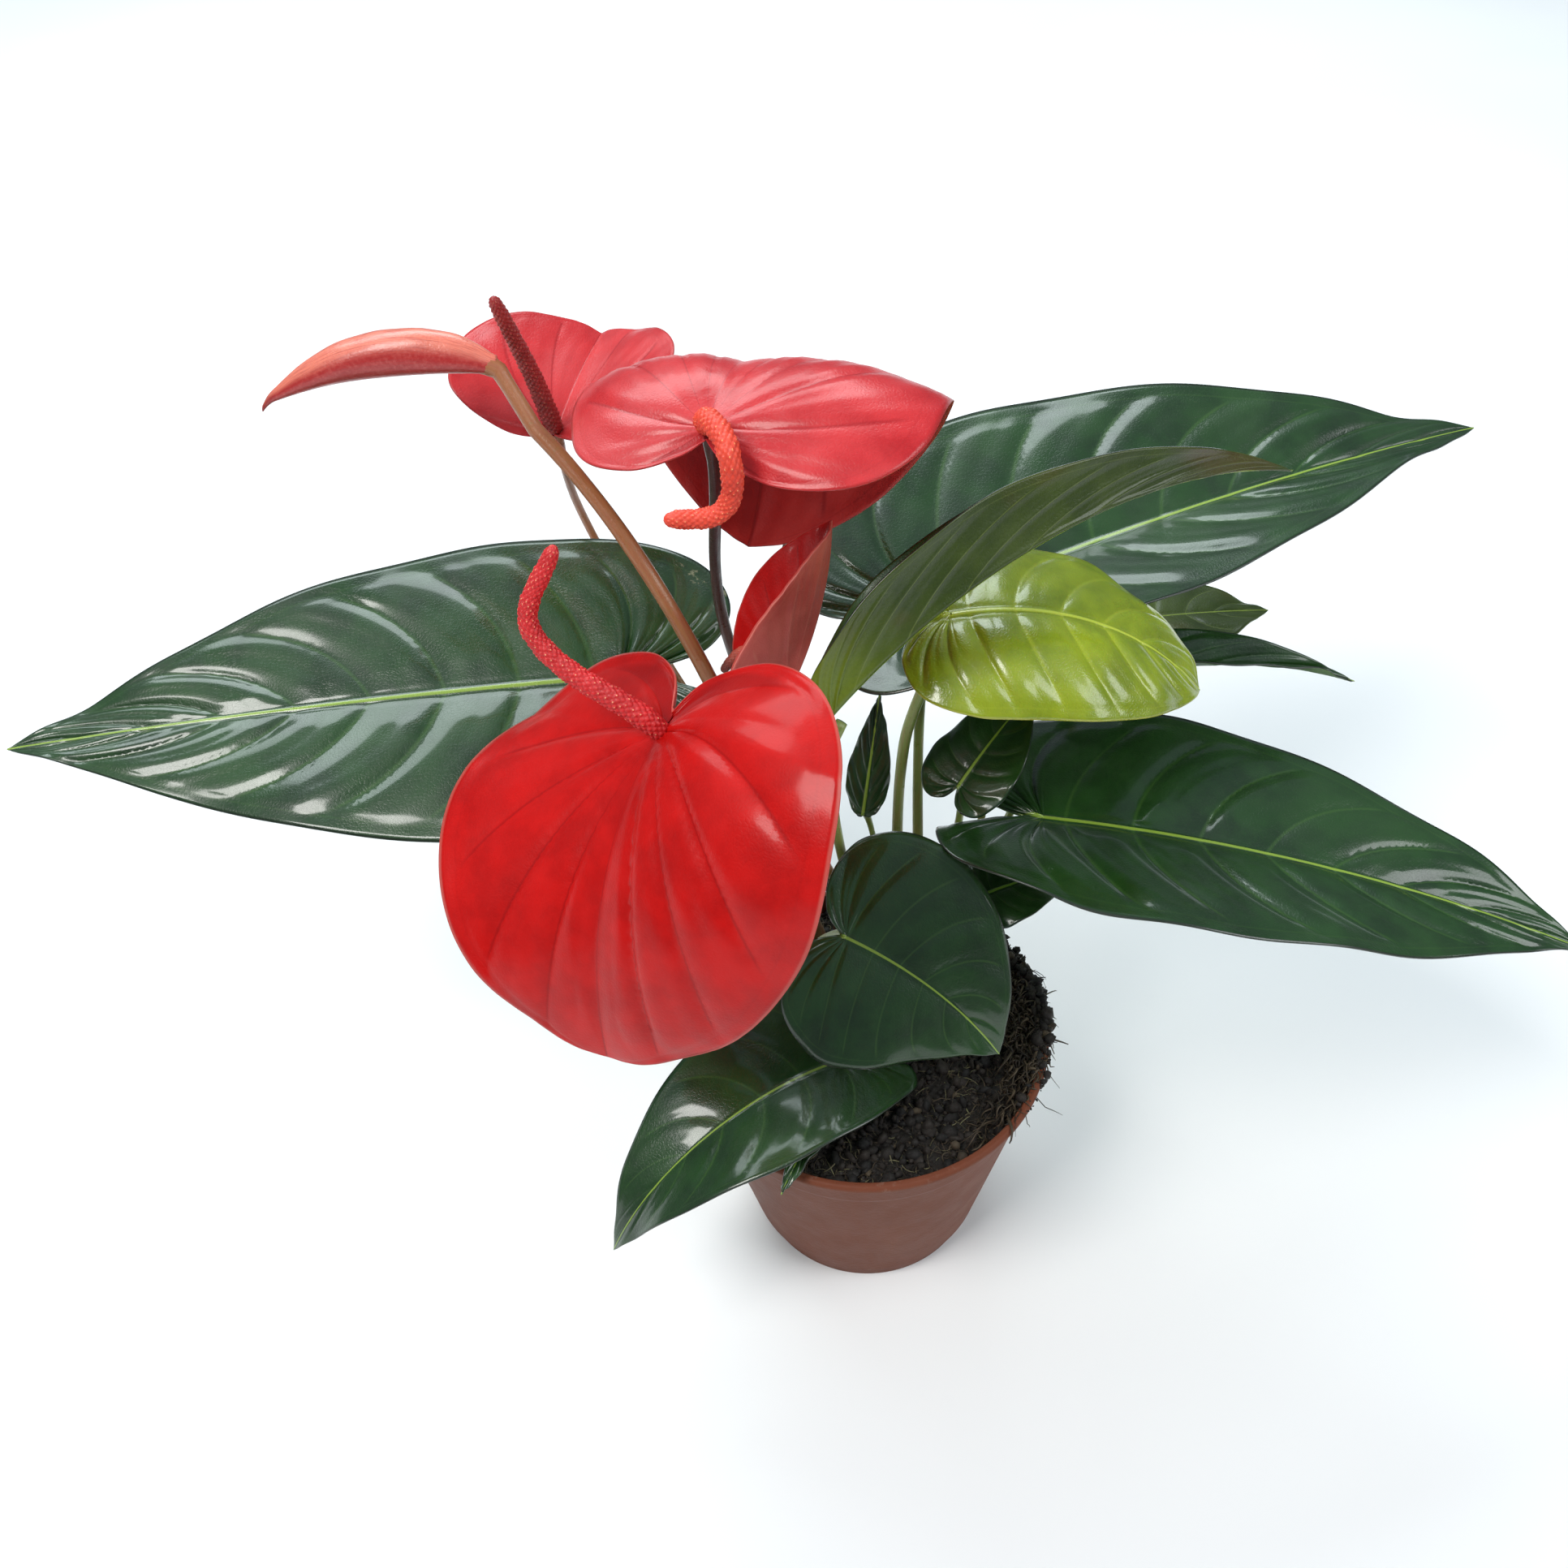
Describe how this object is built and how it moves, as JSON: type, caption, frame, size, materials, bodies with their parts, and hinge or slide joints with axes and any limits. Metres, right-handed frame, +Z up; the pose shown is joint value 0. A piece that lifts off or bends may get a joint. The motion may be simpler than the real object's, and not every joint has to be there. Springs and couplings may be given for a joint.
{
  "type": "potted anthurium",
  "caption": "Free-standing potted flamingo flower: heart-shaped glossy leaves and waxy red spathes with spadices, rooted in soil in a tapered nursery pot.",
  "frame": {"origin": "centre of the pot's flat base, on the surface it stands on", "axes": "+Z up along the pot's axis; +X to the plant's right along its widest spread of leaves; +Y to its back, so -Y is the front"},
  "size_m": [0.4856, 0.2435, 0.3155],
  "materials": {
    "brown_peduncle": "smooth waxy orange-brown to maroon stem",
    "crown_bark": "rough brown rooted stem with old leaf scars",
    "dry_bract": "thin dry brown sheath",
    "green_petiole": "smooth waxy green stem",
    "leaf_green": "very glossy dark green, quilted between yellow-green veins",
    "leaf_lime": "glossy young yellow-green with a pale midrib",
    "leaf_olive": "young olive-brown leaf seen from its back",
    "pot_plastic": "thin satin brown plastic with pale dust on the rim",
    "potting_soil": "dark crumbly peat and coir with fine pale fibres",
    "spadix": "knobbly red-orange spike set with pale yellow flowers",
    "spathe_coral": "glossy coral pink with radiating veins and a darker back",
    "spathe_red": "glossy waxy red with sunken veins"
  },
  "bodies": {
    "root": {"bract_front": "dry_bract", "bract_main": "dry_bract", "bract_right": "dry_bract", "crown_front": "crown_bark", "crown_main": "crown_bark", "crown_right": "crown_bark", "leaf_back_right": "leaf_green", "leaf_centre": "leaf_green", "leaf_folded": "leaf_olive", "leaf_front": "leaf_green", "leaf_front_left": "leaf_green", "leaf_left": "leaf_green", "leaf_lime": "leaf_lime", "leaf_low_right": "leaf_green", "leaf_narrow_centre": "leaf_green", "leaf_rear_right": "leaf_olive", "leaf_right": "leaf_green", "leaf_small_front": "leaf_green", "leaf_thin_right": "leaf_green", "peduncle_front": "brown_peduncle", "peduncle_rear_left": "brown_peduncle", "peduncle_rolled": "brown_peduncle", "peduncle_top": "brown_peduncle", "peduncle_young": "brown_peduncle", "petiole_back_right": "green_petiole", "petiole_centre": "green_petiole", "petiole_folded": "green_petiole", "petiole_front": "green_petiole", "petiole_front_left": "green_petiole", "petiole_left": "green_petiole", "petiole_lime": "green_petiole", "petiole_low_right": "green_petiole", "petiole_narrow_centre": "green_petiole", "petiole_rear_right": "green_petiole", "petiole_right": "green_petiole", "petiole_small_front": "green_petiole", "petiole_thin_right": "green_petiole", "pot": "pot_plastic", "soil": "potting_soil", "spadix_front": "spadix", "spadix_rear_left": "spadix", "spadix_top": "spadix", "spadix_young": "spadix", "spathe_front": "spathe_red", "spathe_rear_left": "spathe_coral", "spathe_rolled": "spathe_coral", "spathe_top": "spathe_coral", "spathe_young": "spathe_coral"}
  },
  "joints": []
}
